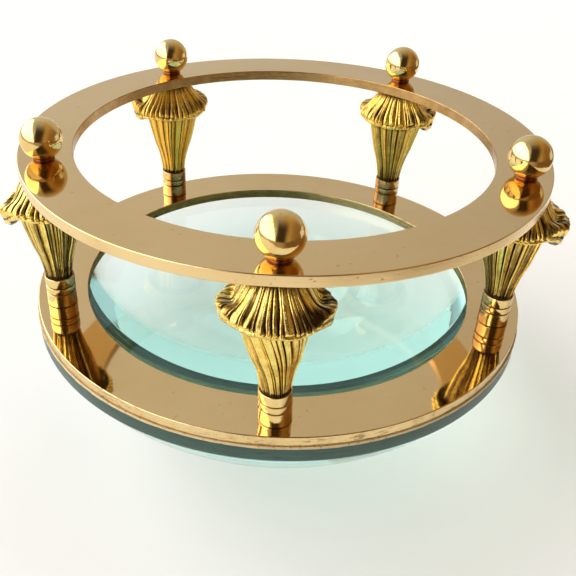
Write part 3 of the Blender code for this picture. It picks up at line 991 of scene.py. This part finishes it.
# ---------------------------------------------------------------- floor, light and camera
FLOOR_CORNERS = ((-0.90, -0.60), (-0.20, -0.38), (-0.04, -0.19), (0.08, -0.135), (0.15, -0.05),
                 (0.17, 0.05), (0.32, 0.45), (0.90, 1.60), (-0.90, 1.60))


def make_floor():
    """A white sheet that fills the view; right and front of it the brass mirrors the dim room."""
    mesh = bpy.data.meshes.new("floor")
    mesh.from_pydata([(x, y, 0.0) for x, y in FLOOR_CORNERS], [],
                     [tuple(range(len(FLOOR_CORNERS)))])
    floor = bpy.data.objects.new("floor", mesh)
    bpy.context.scene.collection.objects.link(floor)
    floor.location.z = cad_box[0].z - 0.02 * MM
    s = Shading("floor")
    mottle = s.noise(30.0, 3.0)
    colour = s.blend(mottle, FLOOR_GREY, FLOOR_WHITE)
    mesh.materials.append(s.finish(Base_Color=colour, Roughness=0.75))


ROOM_LEFT = rgb(0.68, 0.67, 0.655)
ROOM_RIGHT = rgb(0.54, 0.515, 0.49)
CEILING = rgb(0.50, 0.46, 0.42)
TAN_NEAR = rgb(0.54, 0.355, 0.145)
TAN_FAR = rgb(0.28, 0.15, 0.055)
FIGURE = rgb(0.050, 0.034, 0.022)
TABLE_LEFT = rgb(0.46, 0.32, 0.22)
TABLE_RIGHT = rgb(0.20, 0.11, 0.05)
DOORWAY = rgb(0.80, 0.80, 0.78)
WINDOW = rgb(3.2, 3.15, 3.05)
BACKDROP = rgb(1.0, 1.0, 1.0)


def make_world():
    """Studio mirrored by the brass: window on the left, dark figure in front, brown right side,
    a pale doorway low on the far right. x, y and z are the direction looked in.
    """
    world = bpy.data.worlds.new("studio")
    bpy.context.scene.world = world
    world.use_nodes = True
    tree = world.node_tree
    back = tree.nodes["Background"]
    out = tree.nodes["World Output"]
    split = tree.nodes.new("ShaderNodeSeparateXYZ")
    tree.links.new(tree.nodes.new("ShaderNodeTexCoord").outputs["Generated"], split.inputs[0])
    x, y, z = split.outputs

    def put(socket, value):
        if isinstance(value, bpy.types.NodeSocket):
            tree.links.new(value, socket)
        else:
            socket.default_value = value

    def number(operation, a, b=0.0):
        node = tree.nodes.new("ShaderNodeMath")
        node.operation = operation
        put(node.inputs[0], a)
        put(node.inputs[1], b)
        return node.outputs[0]

    def step(value, start, end):
        """0 before start, 1 after end, smooth between; start may be the larger."""
        ramp = tree.nodes.new("ShaderNodeMapRange")
        ramp.interpolation_type = "SMOOTHSTEP"
        put(ramp.inputs["Value"], value)
        ramp.inputs["From Min"].default_value = start
        ramp.inputs["From Max"].default_value = end
        return ramp.outputs["Result"]

    def both(*shares):
        """The share that all of the shares have in common: their product."""
        total = shares[0]
        for share in shares[1:]:
            total = number("MULTIPLY", total, share)
        return total

    def layer(below, share, colour):
        mix = tree.nodes.new("ShaderNodeMix")
        mix.data_type = "RGBA"
        put(mix.inputs[0], share)
        put(mix.inputs[6], below)
        put(mix.inputs[7], colour)
        return mix.outputs[2]

    left = number("MULTIPLY", x, -1.0)
    front = number("MULTIPLY", y, -1.0)
    colour = layer(ROOM_LEFT, step(x, -0.30, 0.55), ROOM_RIGHT)
    colour = layer(colour, step(z, 0.70, 0.95), CEILING)
    brown = both(step(x, 0.02, 0.36), step(y, 0.80, 0.30))
    colour = layer(colour, brown, layer(TAN_NEAR, step(x, 0.45, 0.95), TAN_FAR))
    across = number("SUBTRACT", x, number("MULTIPLY", z, 0.20))
    figure = both(step(across, -0.50, -0.34), step(across, 0.60, 0.14), step(front, -0.45, 0.60))
    colour = layer(colour, figure, FIGURE)
    table = layer(TABLE_LEFT, step(x, -0.05, 0.50), TABLE_RIGHT)
    colour = layer(colour, step(z, 0.01, -0.04), table)
    doorway = both(step(x, 0.80, 0.88), step(y, 0.08, 0.16), step(z, -0.22, -0.15),
                   step(z, 0.20, 0.12))
    colour = layer(colour, doorway, DOORWAY)
    # Places on the left wall, along it and up it, measured in distances to the wall.
    depth = number("MAXIMUM", left, 0.001)
    beside, above = number("DIVIDE", y, depth), number("DIVIDE", z, depth)
    reach = number("SUBTRACT", left, number("MULTIPLY", z, 0.12))
    window = both(step(reach, 0.36, 0.41), step(beside, 2.0, 1.3), step(above, 0.02, 0.16),
                  step(above, 1.75, 1.55))
    colour = layer(colour, window, WINDOW)
    put(back.inputs["Color"], colour)
    plain = tree.nodes.new("ShaderNodeBackground")
    plain.inputs["Color"].default_value = BACKDROP
    seen = tree.nodes.new("ShaderNodeLightPath").outputs["Is Camera Ray"]
    mix = tree.nodes.new("ShaderNodeMixShader")
    for socket, value in zip(mix.inputs, (seen, back.outputs[0], plain.outputs[0])):
        put(socket, value)
    put(out.inputs["Surface"], mix.outputs[0])
    world.cycles.sampling_method = "MANUAL"
    world.cycles.sample_map_resolution = 512


def area_light(name, place, aim, size, watts, colour):
    data = bpy.data.lights.new(name, "AREA")
    data.shape = "SQUARE"
    data.size = size
    data.energy = watts
    data.color = colour
    lamp = bpy.data.objects.new(name, data)
    bpy.context.scene.collection.objects.link(lamp)
    lamp.location = place
    lamp.rotation_euler = (Vector(aim) - Vector(place)).to_track_quat("-Z", "Y").to_euler()
    lamp.visible_camera = False
    lamp.visible_glossy = False
    return lamp


def make_lights():
    """Three large soft lamps that only light; what the brass mirrors is the world."""
    middle = (0.0, 0.0, 0.03)
    area_light("window_key", (-0.95, -0.10, 0.95), middle, 1.0, 2.6, (1.0, 0.985, 0.96))
    area_light("back_fill", (0.30, 0.95, 0.95), middle, 1.2, 3.6, (0.97, 0.985, 1.0))
    area_light("right_fill", (1.0, -0.3, 1.1), middle, 1.4, 3.0, (1.0, 1.0, 1.0))


CAMERA_PLACE = (-0.00081, -0.14213, 0.12189)
CAMERA_YAW, CAMERA_PITCH, CAMERA_ROLL = -2.094, 33.428, 1.337    # degrees


def make_camera():
    """The camera: close in front of the stand, a third of a right angle above it."""
    yaw, pitch, roll = (math.radians(a) for a in (CAMERA_YAW, CAMERA_PITCH, CAMERA_ROLL))
    forward = Vector((math.sin(yaw) * math.cos(pitch), math.cos(yaw) * math.cos(pitch),
                      -math.sin(pitch)))
    level = Vector((math.cos(yaw), -math.sin(yaw), 0.0))
    upright = level.cross(forward)
    right = level * math.cos(roll) + upright * math.sin(roll)
    up = upright * math.cos(roll) - level * math.sin(roll)
    data = bpy.data.cameras.new("camera")
    data.sensor_width = 36.0
    data.lens = 48.71
    data.shift_x = 0.0679
    data.shift_y = 0.0025
    data.clip_start = 0.005
    data.clip_end = 50.0
    camera = bpy.data.objects.new("camera", data)
    bpy.context.scene.collection.objects.link(camera)
    turn = Matrix((right, up, -forward)).transposed()
    camera.matrix_world = Matrix.Translation(CAMERA_PLACE) @ turn.to_4x4()
    bpy.context.scene.camera = camera


def make_look():
    """Plain colours, and enough bounces for thick glass."""
    scene = bpy.context.scene
    scene.view_settings.view_transform = "Standard"
    scene.view_settings.exposure = 0.0
    scene.cycles.caustics_refractive = True
    scene.cycles.max_bounces = 16
    scene.cycles.transmission_bounces = 16
    scene.cycles.glossy_bounces = 6
    scene.cycles.transparent_max_bounces = 12
    scene.cycles.sample_clamp_indirect = 6.0


make_camera()
make_rings(ring_face_brass(), ring_edge_brass())
make_lens(lens_glass())
make_cement(cement())
cast, bright, steel = cast_brass(), turned_brass(), screw_steel()
for column in COLUMNS:
    make_shaft(column, cast)
    make_capital(column, cast)
    make_collar(column, bright)
    make_ball(column, bright)
    make_stud(column, steel)
    make_foot_screw(column, steel)
make_floor()
make_world()
make_lights()
make_look()

bpy.context.view_layer.update()
